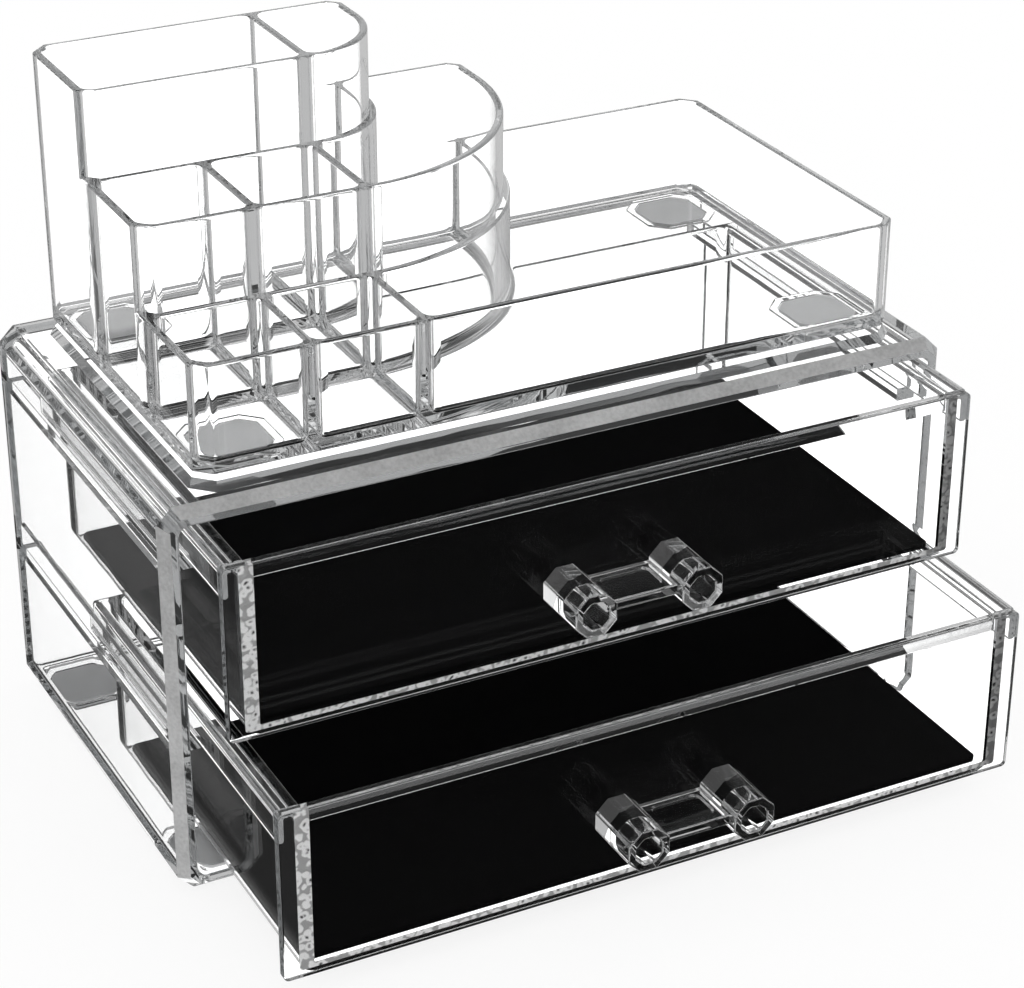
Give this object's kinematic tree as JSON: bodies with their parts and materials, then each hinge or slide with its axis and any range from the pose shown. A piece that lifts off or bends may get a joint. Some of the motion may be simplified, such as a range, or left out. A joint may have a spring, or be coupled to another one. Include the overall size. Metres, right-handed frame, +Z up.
{
  "type": "makeup organizer",
  "caption": "Clear desktop organizer: a case with sliding drawers and a stepped, lift-off tray of open compartments on top.",
  "frame": {"origin": "on the ground, under the middle of the whole part as it stands with both drawers drawn", "axes": "+X to the part's right as seen from the front, +Y to the back (the drawers open along -Y), +Z up"},
  "size_m": [0.24, 0.203, 0.2032],
  "materials": {
    "clear_plastic": "clear, polished",
    "grey_pad": "satin",
    "black_mat": "matt"
  },
  "bodies": {
    "case": {"case_shell": "clear_plastic", "case_pad_front_left": "grey_pad", "case_pad_front_right": "grey_pad", "case_pad_back_left": "grey_pad", "case_pad_back_right": "grey_pad"},
    "lower_drawer": {"lower_drawer_body": "clear_plastic", "lower_drawer_front": "clear_plastic", "lower_drawer_handle": "clear_plastic", "lower_drawer_mat": "black_mat"},
    "upper_drawer": {"upper_drawer_body": "clear_plastic", "upper_drawer_front": "clear_plastic", "upper_drawer_handle": "clear_plastic", "upper_drawer_mat": "black_mat"},
    "tray": {"stepped_tray": "clear_plastic", "tray_pad_front_left": "grey_pad", "tray_pad_front_right": "grey_pad", "tray_pad_back_left": "grey_pad", "tray_pad_back_right": "grey_pad"}
  },
  "joints": [
    {"name": "lower_drawer_slide", "type": "slide", "parent": "case", "child": "lower_drawer", "axis": [0, -1, 0], "range_m": [-0.0544, 0.0406]},
    {"name": "upper_drawer_slide", "type": "slide", "parent": "case", "child": "upper_drawer", "axis": [0, -1, 0], "range_m": [-0.0238, 0.0712]},
    {"name": "tray_lift", "type": "slide", "parent": "case", "child": "tray", "axis": [0, 0, 1], "range_m": [0, 0.06]}
  ]
}
